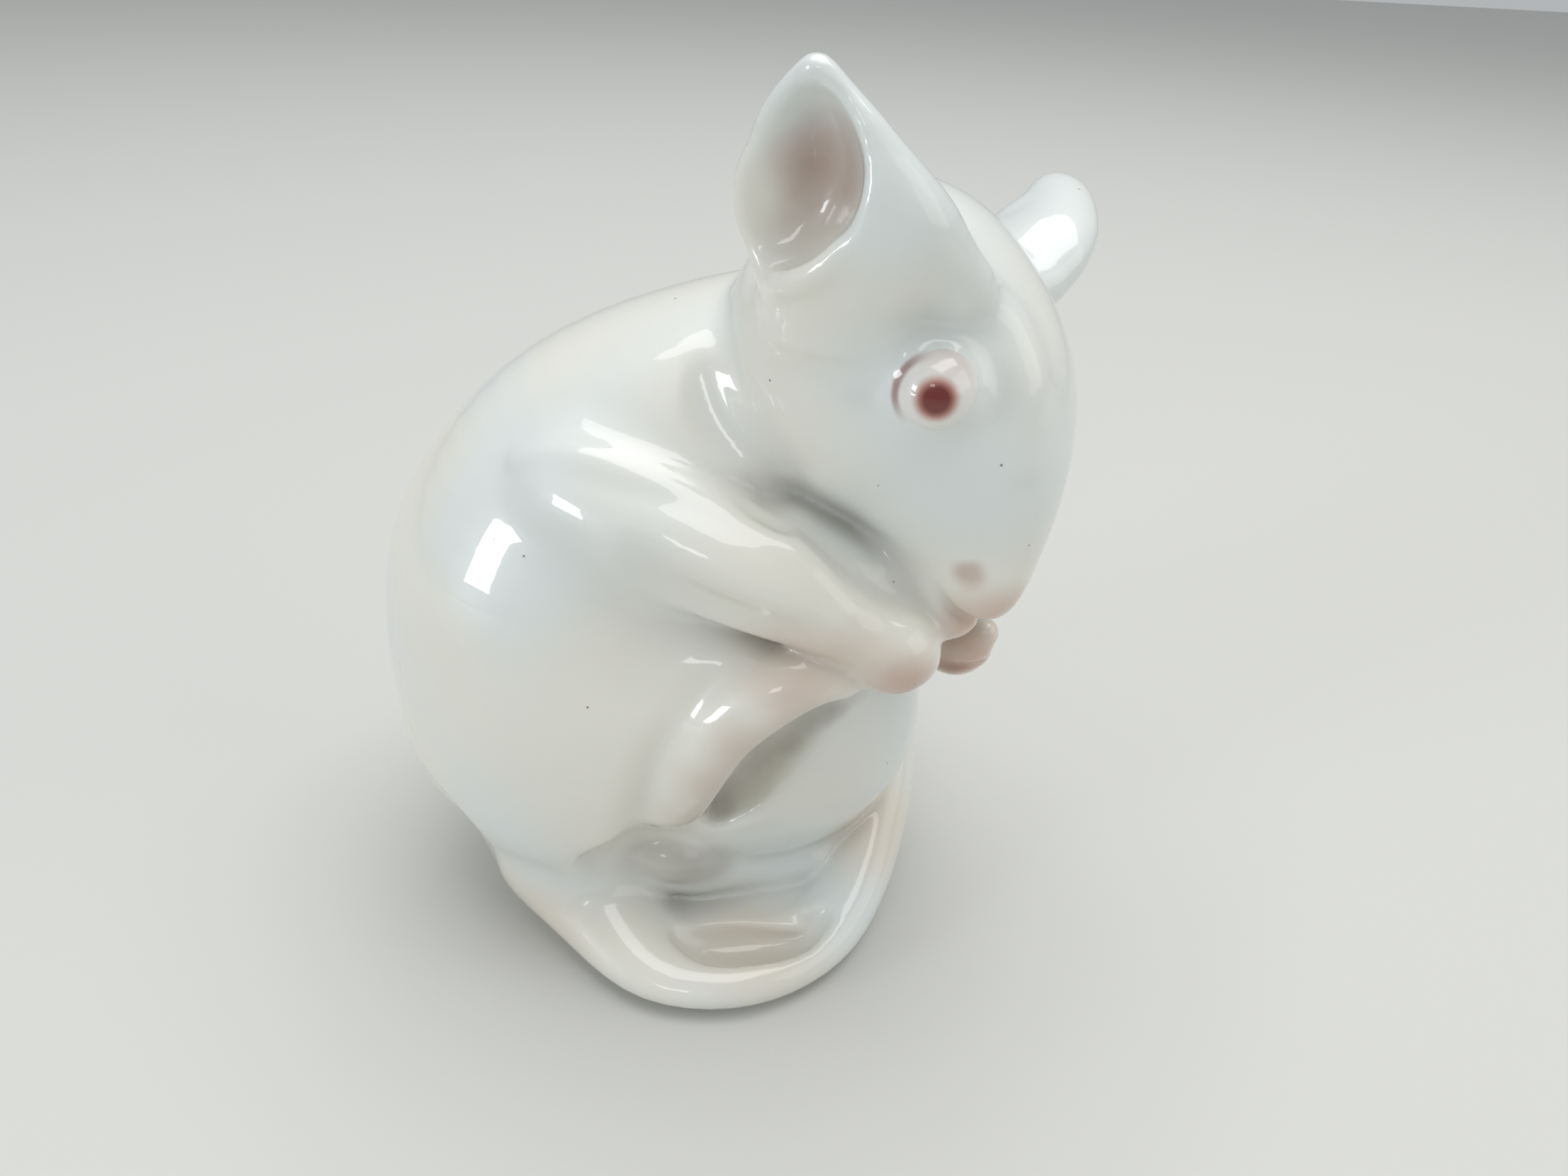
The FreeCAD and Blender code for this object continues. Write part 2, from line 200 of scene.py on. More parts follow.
def tool(stroke, side=-1, frame=whole, cut=False):
    # one stroke along a path, with a radius at each point: a roll of clay added, or a round tool's groove
    path = placed(stroke["pathMm"], side, frame)
    path = between([[*p, r] for p, r in zip(path, stroke["radiiMm"])],
                   clay["strokeSteps"] if len(path) > 2 else 1)
    points, radii, blend = path[:, :3], path[:, 3], stroke["blendMm"]
    reachMm = max(radii) + blend + 2 * voxel
    low, high = np.min(points, 0) - reachMm, np.max(points, 0) + reachMm
    block = tuple(slice(max(int(low[i] / voxel) - int(firstIndex[i]) - 1, 0),
                        max(int(high[i] / voxel) - int(firstIndex[i]) + 2, 1)) for i in range(3))
    x, y, z = gridX[block[0]], gridY[:, block[1]], gridZ[:, :, block[2]]
    roll = np.float32(band)
    for a, b, ra, rb in zip(points, points[1:], radii, radii[1:]):
        ab = b - a
        t = np.clip(((x - a[0]) * ab[0] + (y - a[1]) * ab[1] + (z - a[2]) * ab[2]) / (ab @ ab), 0, 1)
        away = np.sqrt((x - a[0] - t * ab[0]) ** 2 + (y - a[1] - t * ab[1]) ** 2
                       + (z - a[2] - t * ab[2]) ** 2)
        roll = np.minimum(roll, away - (ra + t * (rb - ra)))
    join = carve if cut else lute
    field[block] = join(field[block], roll.astype(np.float32), blend)


# Torso, belly, and the shelf that the feet stand on.
torso = {
    "reachMm": (36.6, 25.0, 44.0), "xMm": -4.5, "steps": 6,
    # x, z, lean in degrees, half depth, half width, pinch
    "rows": [(-0.08, 0.00, 0, 0.180, 0.26, 0.20), (-0.06, 0.08, 0, 0.245, 0.33, 0.20),
             (-0.03, 0.18, 0, 0.348, 0.42, 0.18), (-0.015, 0.29, 0, 0.435, 0.49, 0.15),
             (-0.02, 0.44, 4, 0.450, 0.52, 0.12), (-0.02, 0.57, 12, 0.412, 0.50, 0.08),
             (0.04, 0.70, 30, 0.325, 0.43, 0.0), (0.17, 0.812, 52, 0.215, 0.35, 0.0),
             (0.32, 0.86, 66, 0.180, 0.29, 0.0)],
}
belly = {"centreMm": (0.25, 0.0, 13.9), "radiiMm": (13.45, 10.2, 12.4), "luteMm": 0.3}
shelf = {
    "halfLengthMm": 11.7, "halfWidthMm": 13.2, "farHalfWidthMm": 12.4, "heightMm": 3.0, "softMm": 1.2,
    "luteMm": 0.8, "pocketEdgeMm": -10.8, "pocketEdgeLuteMm": 0.15,
    "pocket": {"pathMm": [(-1.3, -12.4, 3.6), (0.6, -12.7, 3.2), (3.0, -12.4, 3.1), (5.8, -11.6, 3.3),
                          (7.8, -10.3, 3.8)],
               "radiiMm": [0.9, 1.7, 1.8, 1.5, 0.7], "blendMm": 0.4},
}
vent = {"xMm": -4.5, "radiusMm": 1.5, "depthMm": 7.0}

rings = []
for x, z, lean, depth, width, pinch in between(torso["rows"], torso["steps"]):
    lean = math.radians(lean)
    middle = np.array((torso["xMm"] + x * torso["reachMm"][0], 0, z * torso["reachMm"][2]))
    rings.append(oval(middle, np.array((0, 1, 0)), np.array((math.cos(lean), 0, -math.sin(lean))),
                      width * torso["reachMm"][1], depth * torso["reachMm"][0], pinch))
field = formField(rings)

# Hind legs and feet, the same on both sides.
hindLeg = {
    "thighMm": 20.4, "shinMm": 5.0, "footMm": 6.4,
    "thighLuteMm": 3.0, "shinLuteMm": 1.0, "footLuteMm": 0.7,
    # x, y, z in shares of the torso's reach, half width and half height in shares of the diameter
    "thigh": [(-0.464, -0.144, 0.236, 0.07, 0.15), (-0.415, -0.184, 0.250, 0.20, 0.31),
              (-0.301, -0.240, 0.305, 0.30, 0.475), (-0.178, -0.288, 0.375, 0.31, 0.44),
              (-0.066, -0.344, 0.442, 0.25, 0.29), (0.044, -0.408, 0.500, 0.19, 0.19),
              (0.137, -0.456, 0.532, 0.14, 0.13), (0.197, -0.472, 0.550, 0.05, 0.05)],
    "shin": [(0.227, -0.464, 0.550, 0.20, 0.20), (0.202, -0.472, 0.545, 0.44, 0.44),
             (0.109, -0.488, 0.518, 0.50, 0.50), (0.015, -0.480, 0.462, 0.48, 0.48),
             (-0.040, -0.432, 0.362, 0.46, 0.46), (-0.070, -0.360, 0.255, 0.44, 0.44),
             (-0.098, -0.296, 0.160, 0.40, 0.40), (-0.112, -0.256, 0.105, 0.24, 0.24)],
    "foot": [(-0.175, -0.216, 0.080, 0.16, 0.20), (-0.150, -0.220, 0.084, 0.30, 0.38),
             (-0.090, -0.216, 0.084, 0.36, 0.44), (0.055, -0.208, 0.078, 0.37, 0.42),
             (0.180, -0.160, 0.070, 0.37, 0.40), (0.265, -0.104, 0.072, 0.32, 0.30),
             (0.300, -0.080, 0.078, 0.16, 0.12)],
    "heelHollow": {"pathMm": [(-4.2, -13.4, 8.0), (-2.6, -13.4, 8.1), (0.5, -12.8, 8.4), (3.5, -11.5, 8.2)],
                   "radiiMm": [3.0, 4.5, 4.8, 4.0], "blendMm": 1.0},
    "ankle": {"pathMm": [(-6.2, -12.3, 8.8), (-4.6, -12.5, 8.6), (-2.8, -12.4, 8.2), (0.0, -11.6, 7.6),
                         (2.5, -10.6, 6.8)],
              "radiiMm": [1.6, 2.8, 3.2, 3.2, 2.6], "blendMm": 1.0},
    "sole": {"pathMm": [(-4.7, -9.0, 7.3), (-2.9, -9.0, 7.2), (-1.4, -8.6, 6.7), (1.7, -6.9, 4.7),
                        (4.3, -6.0, 3.8), (6.9, -5.2, 3.7)],
             "radiiMm": [0.8, 1.6, 1.7, 1.4, 1.2, 0.9], "blendMm": 0.9},
    "shinInner": {"pathMm": [(9.7, -13.5, 21.7), (7.4, -14.3, 21.9), (5.3, -14.3, 20.3), (3.4, -13.8, 18.0),
                             (2.2, -12.8, 15.4), (1.6, -11.8, 12.9), (1.4, -10.5, 10.8)],
                  "radiiMm": [1.9, 1.9, 1.9, 1.9, 1.9, 1.9, 1.9], "blendMm": 1.1},
    "undercutMm": (0.0, 1.8, -1.5),    # the inner cut is made again, so much further in and down
    "footFill": {"pathMm": [(-3.4, -8.0, 5.2), (-1.0, -7.6, 4.8), (1.6, -6.6, 4.0)],
                 "radiiMm": [1.7, 1.8, 1.5], "blendMm": 0.9},
    "valley": {"pathMm": [(2.4, -15.6, 25.6), (0.9, -15.3, 24.2), (-0.6, -15.8, 22.0), (-1.9, -15.8, 18.8),
                          (-2.6, -15.3, 15.3), (-3.4, -14.3, 12.0)],
               "radiiMm": [1.6, 2.0, 2.1, 2.1, 2.0, 1.7], "blendMm": 1.4},
    "crest": {"pathMm": [(7.4, -12.0, 24.8), (4.8, -12.5, 24.2), (2.6, -12.9, 22.8), (0.9, -12.9, 20.6),
                         (-0.6, -12.5, 17.4), (-1.4, -11.7, 14.9), (-1.9, -10.9, 13.3)],
              "radiiMm": [1.2, 1.6, 1.8, 1.9, 1.9, 1.7, 1.2], "blendMm": 0.8},
    "crease": {"pathMm": [(8.6, -7.6, 21.2), (6.5, -8.7, 20.4), (4.6, -9.5, 18.1), (3.0, -9.7, 15.9),
                          (1.6, -9.6, 13.6), (0.5, -9.4, 11.9)],
               "radiiMm": [1.3, 1.7, 1.9, 1.9, 1.8, 1.2], "blendMm": 1.1},
}
for side in (-1, 1):
    reach = (torso["reachMm"][0], -side * torso["reachMm"][1], torso["reachMm"][2])
    thigh = formField(limbRings(hindLeg["thigh"], reach, hindLeg["thighMm"]))
    field = lute(field, thigh, hindLeg["thighLuteMm"])
    tool(hindLeg["heelHollow"], side, cut=True)
    tool(hindLeg["valley"], side, cut=True)
    shin = formField(limbRings(hindLeg["shin"], reach, hindLeg["shinMm"]))
    field = lute(field, shin, hindLeg["shinLuteMm"])
    tool(hindLeg["shinInner"], side, cut=True)
    undercut = np.array(hindLeg["shinInner"]["pathMm"]) + hindLeg["undercutMm"]
    tool(dict(hindLeg["shinInner"], pathMm=undercut), side, cut=True)
    tool(hindLeg["crest"], side)
for side in (-1, 1):
    tool(hindLeg["ankle"], side, cut=True)
    tool(hindLeg["footFill"], side)
field = lute(field, eggField(belly["centreMm"], belly["radiiMm"]), belly["luteMm"])
for side in (-1, 1):
    tool(hindLeg["crease"], side, cut=True)
print("torso, thighs and belly")

halfWidth = np.where(gridY < 0, shelf["halfWidthMm"], shelf["farHalfWidthMm"])
edge = np.sqrt((gridX / shelf["halfLengthMm"]) ** 2 + (gridY / halfWidth) ** 2)
rim = (edge - 1) * shelf["farHalfWidthMm"] + 0 * gridZ
plate = np.clip(carve(rim, shelf["heightMm"] - gridZ, shelf["softMm"]), -band, band).astype(np.float32)
field = lute(field, plate, shelf["luteMm"])
for side in (-1, 1):
    reach = (torso["reachMm"][0], -side * torso["reachMm"][1], torso["reachMm"][2])
    foot = formField(limbRings(hindLeg["foot"], reach, hindLeg["footMm"]))
    field = lute(field, foot, hindLeg["footLuteMm"])
    tool(hindLeg["sole"], side)

# Tail, fat at its root and laid flat round the right side and the front.
tail = {
    "reachMm": (28.0, 27.4, 24.0), "diameterMm": 9.0,
    # its join is wide at the root, and closes along the line from the first point to the second
    "luteMm": 0.5, "rootLuteMm": 2.0, "rootMm": ((-9, -4, 6), (1, -13, 3)),
    "rows": [(-0.286, 0.100, 0.250, 0.30, 0.30), (-0.379, -0.020, 0.233, 0.48, 0.48),
             (-0.357, -0.190, 0.205, 0.56, 0.56), (-0.240, -0.361, 0.125, 0.39, 0.33),
             (-0.086, -0.480, 0.077, 0.34, 0.20), (0.100, -0.484, 0.072, 0.31, 0.19),
             (0.257, -0.380, 0.078, 0.29, 0.20), (0.352, -0.205, 0.110, 0.28, 0.24),
             (0.405, 0.015, 0.200, 0.30, 0.30), (0.426, 0.160, 0.350, 0.27, 0.27),
             (0.429, 0.205, 0.555, 0.25, 0.25), (0.443, 0.155, 0.745, 0.22, 0.22),
             (0.462, 0.050, 0.885, 0.20, 0.20), (0.474, -0.030, 0.945, 0.17, 0.17)],
    "waist": {"pathMm": [(-20.4, -9.2, 11.6), (-18.4, -10.4, 9.2), (-17.8, -10.0, 7.4), (-17.6, -9.0, 5.5),
                         (-17.1, -8.6, 3.9)],
              "radiiMm": [1.6, 2.9, 3.0, 2.9, 2.2], "blendMm": 1.5},
    "slip": {"pathMm": [(6.8, -3.4, 4.4), (8.4, -2.6, 4.6), (10.4, -1.0, 5.0)],
             "radiiMm": [1.2, 1.6, 1.4], "blendMm": 1.0},
}
tailForm = formField(limbRings(tail["rows"], tail["reachMm"], tail["diameterMm"]))
field = lute(field, tailForm, tail["luteMm"] + tail["rootLuteMm"] * fade(*tail["rootMm"]))
tool(tail["slip"])    # clay left between foot and tail
tool(tail["waist"], cut=True)
tool(shelf["pocket"], cut=True)
nearEdge = np.maximum(plate, shelf["pocketEdgeMm"] - gridY).astype(np.float32)
field = lute(field, nearEdge, shelf["pocketEdgeLuteMm"])

# Forelegs, with paws held together at the mouth.
foreleg = {
    "diameterMm": 7.6, "luteMm": 0.5, "shoulderLuteMm": 1.4,
    # each join is wide at the shoulder, and closes towards the wrist
    "rightJoinMm": ((-6, -8, 33), (4, -12, 30)), "leftJoinMm": ((-6, 8, 33), (6, 8, 27)),
    "right": [(-0.260, -0.220, 0.764, 0.20, 0.20), (-0.219, -0.260, 0.755, 0.50, 0.39),
              (-0.109, -0.344, 0.732, 0.57, 0.45), (0.000, -0.412, 0.700, 0.51, 0.46),
              (0.093, -0.456, 0.673, 0.42, 0.41), (0.169, -0.476, 0.645, 0.32, 0.32),
              (0.227, -0.476, 0.618, 0.28, 0.28), (0.276, -0.468, 0.593, 0.34, 0.34),
              (0.306, -0.460, 0.566, 0.28, 0.28), (0.317, -0.456, 0.552, 0.13, 0.13)],
    "left": [(-0.232, 0.240, 0.750, 0.20, 0.20), (-0.191, 0.280, 0.736, 0.53, 0.45),
             (-0.068, 0.352, 0.691, 0.58, 0.53), (0.068, 0.368, 0.641, 0.50, 0.50),
             (0.191, 0.304, 0.591, 0.39, 0.39), (0.295, 0.152, 0.555, 0.32, 0.32),
             (0.361, -0.024, 0.523, 0.28, 0.28), (0.399, -0.144, 0.505, 0.33, 0.33),
             (0.418, -0.216, 0.502, 0.26, 0.26), (0.426, -0.248, 0.502, 0.13, 0.13)],
    "hollow": {"pathMm": [(-4.1, -14.4, 32.5), (-3.0, -14.6, 30.1), (-0.6, -14.8, 28.6), (3.1, -15.4, 27.8),
                          (5.6, -15.6, 28.2)],
               "radiiMm": [0.9, 2.0, 2.2, 2.0, 1.4], "blendMm": 1.2},
    "ridge": {"pathMm": [(-10.6, -7.6, 34.3), (-7.7, -9.0, 35.3), (-4.1, -10.1, 34.9), (1.6, -11.0, 33.1),
                         (5.1, -12.4, 31.2), (7.1, -13.1, 29.3)],
              "radiiMm": [0.5, 0.8, 0.9, 0.9, 0.85, 0.5], "blendMm": 0.9},
    "chest": {"pathMm": [(4.2, -8.6, 30.4), (8.0, -8.8, 28.8), (11.2, -9.2, 26.9)],
              "radiiMm": [2.8, 2.4, 1.8], "blendMm": 0.9},
    "fingerGroove": {"pathMm": [(10.3, -14.3, 27.3), (10.3, -14.3, 24.9)],
                     "radiiMm": [0.25, 0.4], "blendMm": 0.4},
    "farFingers": {"pathMm": [(15.5, -5.9, 22.9), (16.2, -6.3, 24.0)],
                   "radiiMm": [1.5, 0.9], "blendMm": 0.8},
    "farFingerGroove": {"pathMm": [(13.7, -6.6, 21.0), (14.9, -7.0, 21.8), (16.2, -6.6, 22.1)],
                        "radiiMm": [0.3, 0.35, 0.25], "blendMm": 0.4},
}
for name in ("right", "left"):
    arm = formField(limbRings(foreleg[name], torso["reachMm"], foreleg["diameterMm"]))
    field = lute(field, arm, foreleg["luteMm"] + foreleg["shoulderLuteMm"] * fade(*foreleg[name + "JoinMm"]))
tool(foreleg["hollow"], cut=True)
tool(foreleg["chest"])
tool(foreleg["ridge"])
tool(foreleg["fingerGroove"], cut=True)
tool(foreleg["farFingers"])
tool(foreleg["farFingerGroove"], cut=True)
print("limbs and tail")

# Head. Its details are in mm in its own frame, +X to the nose and +Z to the crown, for the right side.
head = {
    "sizeMm": (21.0, 17.6, 16.4), "atMm": (13.9, -6.3, 39.6), "turnDeg": (-41.0, 28.0, -15.0),
    "luteMm": 1.0, "pinch": 0.1,
    # x, z, nod in degrees, half width, half height
    "rows": [(-0.66, -0.06, 0, 0.20, 0.20), (-0.58, -0.08, 2, 0.36, 0.37), (-0.40, -0.10, 6, 0.48, 0.50),
             (-0.20, -0.14, 10, 0.50, 0.53), (0.00, -0.20, 18, 0.44, 0.48), (0.14, -0.28, 28, 0.32, 0.38),
             (0.265, -0.395, 38, 0.20, 0.26), (0.345, -0.495, 46, 0.13, 0.165),
             (0.38, -0.55, 50, 0.07, 0.08)],
    "eyeMm": (0.2, -6.3, 0.4), "irisMm": (1.26, -8.19, 0.76),
    "jaw": {"pathMm": [(0.8, -1.2, -9.4), (2.8, -1.2, -9.8), (4.6, -1.1, -9.8), (6.2, -0.8, -9.6),
                       (7.4, -0.5, -10.4)],
            "radiiMm": [1.3, 1.7, 1.6, 1.4, 1.3], "blendMm": 1.0},
    "brow": {"pathMm": [(-4.4, -4.2, 4.5), (-2.6, -4.3, 4.1), (-0.8, -3.6, 4.1), (0.8, -3.2, 3.5),
                        (2.6, -2.9, 2.3), (4.6, -2.4, -0.4)],
             "radiiMm": [0.8, 0.9, 1.0, 1.0, 0.9, 0.6], "blendMm": 1.6},
    "mouth": {"pathMm": [(6.3, -2.3, -8.8), (7.6, -1.7, -9.4), (8.7, -0.8, -9.4), (9.1, 0.0, -9.3)],
              "radiiMm": [0.15, 0.3, 0.35, 0.35], "blendMm": 0.35},
    "nostril": {"pathMm": [(7.2, -2.6, -7.4), (7.25, -2.8, -6.8), (7.1, -2.9, -6.2)],
                "radiiMm": [0.2, 0.26, 0.15], "blendMm": 0.35},
    "nose": {"pathMm": [(7.4, 0.0, -7.4), (7.9, 0.0, -7.9)],
             "radiiMm": [1.7, 1.45], "blendMm": 1.6},
    "lids": {"pathMm": [(0.2, -6.3, 0.4), (0.21, -6.29, 0.41)],
             "radiiMm": [2.05, 2.05], "blendMm": 1.5},
    # the fold under the cheek, in the frame of the whole
    "cheek": {"pathMm": [(-1.7, -6.7, 41.9), (-1.3, -8.1, 40.5), (0.0, -9.7, 37.9), (2.6, -11.0, 35.6),
                         (4.0, -11.3, 34.2)],
              "radiiMm": [1.3, 1.9, 2.1, 2.0, 1.4], "blendMm": 0.25},
}
yaw, pitch, roll = (math.radians(v) for v in head["turnDeg"])
headTurn = np.array(Matrix.Rotation(yaw, 3, "Z") @ Matrix.Rotation(pitch, 3, "Y")
                    @ Matrix.Rotation(roll, 3, "X"))
headFrame = (headTurn, np.array(head["atMm"]))


def onHead(points, side=-1):
    return placed(points, side, headFrame)


rings = []
for x, z, nod, width, height in between(head["rows"], clay["steps"]):
    nod = math.radians(nod)
    ring = oval(np.array((x * head["sizeMm"][0], 0, z * head["sizeMm"][2])), np.array((0, 1, 0)),
                np.array((math.sin(nod), 0, math.cos(nod))), width * head["sizeMm"][1],
                height * head["sizeMm"][2], head["pinch"])
    rings.append(onHead(ring))
field = lute(field, formField(rings), head["luteMm"])
tool(head["nose"], frame=headFrame)
tool(head["brow"], frame=headFrame)
tool(head["cheek"], cut=True)
for side in (-1, 1):
    tool(head["jaw"], side, headFrame)
    tool(head["mouth"], side, headFrame, cut=True)
    tool(head["nostril"], side, headFrame, cut=True)
    tool(head["lids"], side, headFrame)
print("head")

# Ears: a cupped shell luted on the head, with a wide bowl and a deeper well thumbed into it.
ear = {
    "rootMm": (-6.5, -8.9, 1.2), "turnDeg": 80.0, "wellLuteMm": 1.6, "bowlEdgeMm": 0.7,
    # each row in mm in the ear's own frame: up, aside, half width, half depth, forward
    "right": {"side": -1, "sweepDeg": 25.0, "splayDeg": 29.0, "luteMm": 2.4,
              "shell": [(-2.4, 0.3, 3.2, 2.2, -0.3), (0.0, 0.4, 4.2, 2.6, -0.2), (1.4, 0.45, 4.5, 2.6, -0.1),
                        (2.7, 0.4, 4.9, 2.5, 0.0), (4.0, 0.4, 5.0, 2.3, 0.0), (5.3, 0.3, 4.6, 2.05, 0.0),
                        (6.5, 0.25, 3.85, 1.8, 0.0), (7.9, 0.05, 2.95, 1.45, 0.0),
                        (9.2, -0.1, 1.75, 1.1, 0.0), (10.1, -0.05, 0.85, 0.7, 0.0),
                        (10.5, -0.05, 0.35, 0.35, 0.0)]},
    "left": {"side": 1, "sweepDeg": 16.0, "splayDeg": 52.0, "luteMm": 2.0,
             "shell": [(-2.4, 0.9, 3.0, 2.0, -0.3), (0.0, 0.9, 3.9, 2.4, -0.2), (1.6, 1.0, 4.0, 2.3, 0.0),
                       (3.7, 1.1, 4.0, 2.1, 0.0), (6.0, 0.9, 3.65, 1.8, 0.0), (8.0, 0.7, 2.75, 1.5, 0.0),
                       (9.5, 0.1, 2.15, 1.2, 0.0), (10.3, -0.3, 1.5, 0.9, 0.0), (10.8, -0.45, 0.8, 0.5, 0.0),
                       (10.95, -0.45, 0.3, 0.2, 0.0)]},
    "bowl": [(1.0, -2.1, 0.7, 0.8, 2.2), (1.9, -2.0, 1.8, 1.4, 1.9), (3.2, -1.6, 2.7, 1.7, 1.8),
             (4.6, -1.2, 3.15, 1.7, 1.7), (6.0, -0.8, 3.0, 1.6, 1.6), (7.5, -0.35, 2.4, 1.4, 1.5),
             (8.7, -0.05, 1.55, 1.2, 1.4), (9.6, 0.0, 0.6, 0.7, 1.2)],
    "well": [(1.8, -1.0, 0.7, 1.0, 1.6), (3.0, -0.7, 1.5, 2.4, 1.6), (4.6, -0.2, 2.0, 2.9, 1.6),
             (6.2, 0.1, 2.0, 2.8, 1.6), (7.6, 0.1, 1.4, 2.3, 1.5), (8.5, 0.1, 0.6, 1.4, 1.4)],
    # the web from the right ear to the crown, and the lip at the foot of its bowl, in that ear's frame
    "web": {"pathMm": [(-0.5, 2.8, 4.4), (-1.0, 4.3, 2.6), (-2.2, 6.0, 0.0)],
            "radiiMm": [1.2, 1.7, 1.3], "blendMm": 2.2},
    "lip": {"pathMm": [(1.9, -1.7, 0.7), (2.3, -0.5, 1.2), (2.3, 0.7, 1.9), (1.8, 1.6, 2.9)],
            "radiiMm": [0.4, 0.55, 0.5, 0.3], "blendMm": 0.8},
}
earFrames = {}
for name in ("right", "left"):
    side = ear[name]["side"]
    sweep, splay = math.radians(ear[name]["sweepDeg"]), math.radians(ear[name]["splayDeg"])
    turn = math.radians(ear["turnDeg"])
    up = np.array((-math.sin(sweep), side * math.sin(splay) * math.cos(sweep),
                   math.cos(splay) * math.cos(sweep)))
    front = np.array((math.cos(turn), side * math.sin(turn), 0))
    front = unit(front - up * (front @ up))
    earTurn = headTurn @ np.stack([front, np.cross(up, front), up], 1)
    earFrames[name] = (earTurn, onHead([ear["rootMm"]], side)[0])


def earRings(name, rows):
    turned, root = earFrames[name]
    aside = -ear[name]["side"]
    rings = []
    for height, off, width, deep, forward in between(rows, clay["steps"]):
        middle = np.array((forward, aside * off, height))
        rings.append(oval(middle, np.array((0, 1, 0)), np.array((1, 0, 0)), width, deep) @ turned.T + root)
    return rings


for name in ("right", "left"):
    field = lute(field, formField(earRings(name, ear[name]["shell"])), ear[name]["luteMm"])
tool(ear["web"], frame=earFrames["right"])
for name in ("right", "left"):
    bowl, well = formField(earRings(name, ear["bowl"])), formField(earRings(name, ear["well"]))
    field = carve(field, lute(bowl, well, ear["wellLuteMm"]), ear["bowlEdgeMm"])
tool(ear["lip"], frame=earFrames["right"])
print("ears")

# The glaze rounds everything a little.
for axis in range(3):
    field = np.moveaxis(field, axis, 0)
    field[1:-1] = (field[:-2] + 2 * field[1:-1] + field[2:]) / 4
    field = np.moveaxis(field, 0, axis)

# The foot face is ground flat, and the vent opens in it.
field = np.maximum(field, np.broadcast_to(-gridZ, shape))
fromVent = np.sqrt((gridX - vent["xMm"]) ** 2 + gridY ** 2) - vent["radiusMm"]
field = np.maximum(field, -np.maximum(fromVent, gridZ - vent["depthMm"]))

# One skin of glaze over the whole body.
skinGrid = vdb.FloatGrid()
skinGrid.copyFromArray(np.ascontiguousarray(field, dtype=np.float32))
skinGrid.transform = transform
points, quads = skinGrid.convertToQuads(isovalue=0.0)[:2]
points = (points + firstIndex * voxel) * 0.001
skinMesh = bpy.data.meshes.new("glazedSkin")
skinMesh.from_pydata(points.tolist(), [], quads.tolist())
skinMesh.update()
skin = bpy.data.objects.new("glazedSkin", skinMesh)
bpy.context.scene.collection.objects.link(skin)
skinMesh.shade_smooth()
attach(skin, "root")
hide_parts("body_shell", "head", "right_ear", "left_ear", "right_foreleg", "left_foreleg",
            "right_hind_leg", "left_hind_leg", "right_hind_foot", "left_hind_foot", "tail")
print("skin of", len(points), "points")


def linear(hexColour):
    # sRGB hex to linear RGBA
    parts = [int(hexColour[i:i + 2], 16) / 255 for i in (1, 3, 5)]
    return [c / 12.92 if c <= 0.04045 else ((c + 0.055) / 1.055) ** 2.4 for c in parts] + [1.0]


def addNode(tree, kind, settings=None, links=None):
    # a node with its settings, and its inputs linked or set
    node = tree.nodes.new(kind)
    for key, value in (settings or {}).items():
        setattr(node, key, value)
    for key, value in (links or {}).items():
        if isinstance(value, bpy.types.NodeSocket):
            tree.links.new(value, node.inputs[key])
        else:
            node.inputs[key].default_value = value
    return node


def newMaterial(name):
    material = bpy.data.materials.new(name)
    material.use_nodes = True
    material.node_tree.nodes.clear()
    return material, material.node_tree


def inMm(tree):
    # the object's own coordinates, in mm
    place = addNode(tree, "ShaderNodeTexCoord").outputs["Object"]
    return addNode(tree, "ShaderNodeVectorMath", {"operation": "SCALE"},
                   {0: place, "Scale": 1000.0}).outputs[0]


def spot(tree, place, centreMm, innerMm, outerMm, stretch=(1, 1, 1)):
    # 1 within the inner radius of a point, and 0 outside the outer radius
    away = addNode(tree, "ShaderNodeVectorMath", {"operation": "SUBTRACT"}, {0: place, 1: tuple(centreMm)})
    away = addNode(tree, "ShaderNodeVectorMath", {"operation": "DIVIDE"}, {0: away.outputs[0], 1: stretch})
    away = addNode(tree, "ShaderNodeVectorMath", {"operation": "LENGTH"}, {0: away.outputs[0]})
    return addNode(tree, "ShaderNodeMapRange", {"interpolation_type": "SMOOTHSTEP"}, {
        "Value": away.outputs["Value"], "From Min": innerMm, "From Max": outerMm,
        "To Min": 1.0, "To Max": 0.0}).outputs[0]


def lidLine(tree, place, side):
    # a thin ring round the eye, where the lid's colour gathers, fading out towards the nose
    eye, iris = onHead([head["eyeMm"]], side)[0], onHead([head["irisMm"]], side)[0]
    rear = onHead([eyePaint["rearLidMm"]], side)[0]
    away = addNode(tree, "ShaderNodeVectorMath", {"operation": "SUBTRACT"},
                   {0: place, 1: tuple(eye)}).outputs[0]
    radial = addNode(tree, "ShaderNodeVectorMath", {"operation": "CROSS_PRODUCT"},
                     {0: away, 1: tuple(unit(iris - eye))})
    radial = addNode(tree, "ShaderNodeVectorMath", {"operation": "LENGTH"},
                     {0: radial.outputs[0]}).outputs["Value"]
    off = addNode(tree, "ShaderNodeMath", {"operation": "SUBTRACT"},
                  {0: radial, 1: eyePaint["lidMm"]}).outputs[0]
    off = addNode(tree, "ShaderNodeMath", {"operation": "ABSOLUTE"}, {0: off}).outputs[0]
    thin, wide = eyePaint["lidEdgeMm"]
    ring = addNode(tree, "ShaderNodeMapRange", {"interpolation_type": "SMOOTHSTEP"}, {
        "Value": off, "From Min": thin, "From Max": wide, "To Min": 1.0, "To Max": 0.0}).outputs[0]
    return ring, spot(tree, place, rear, *eyePaint["rearLidFadeMm"])


